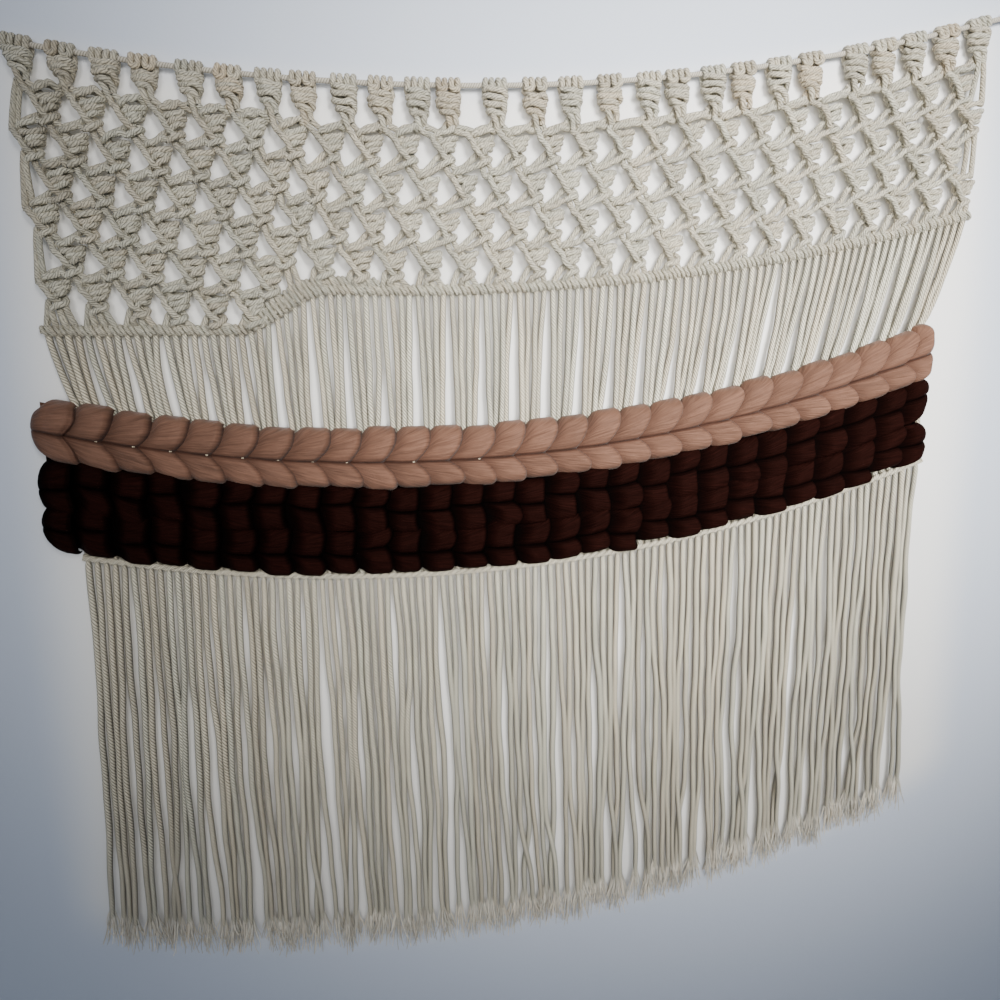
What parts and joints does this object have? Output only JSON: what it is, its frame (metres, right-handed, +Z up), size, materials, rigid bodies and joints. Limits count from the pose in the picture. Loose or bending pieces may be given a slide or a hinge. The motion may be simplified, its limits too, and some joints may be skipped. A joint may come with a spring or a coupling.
{
  "type": "macrame wall hanging",
  "caption": "Knotted cotton wall hanging with an open net at the top, a bar of half hitches, rows of thick wool roving and a long fringe.",
  "frame": {"origin": "middle of the holding cord, at the top edge of the hanging and in the plane of the net", "axes": "+Z up, the worked face towards -Y and the wall towards +Y, +X to the right of someone who looks at the face"},
  "size_m": [0.5554, 0.0192, 0.5505],
  "materials": {
    "holding_cotton": "matte thin cotton cord, cream",
    "net_cotton": "matte twisted cotton cord, natural cream",
    "pink_roving": "unspun wool roving, dusty pink, soft sheen along the fibres",
    "brown_roving": "unspun wool roving, dark brown, soft sheen along the fibres",
    "fringe_cotton": "matte twisted cotton cord, natural cream, frayed at the ends"
  },
  "bodies": {
    "root": {"holding_cord": "holding_cotton", "net": "net_cotton", "pink_braid": "pink_roving", "brown_braid_upper": "brown_roving", "brown_braid_lower": "brown_roving", "fringe": "fringe_cotton"}
  },
  "joints": []
}
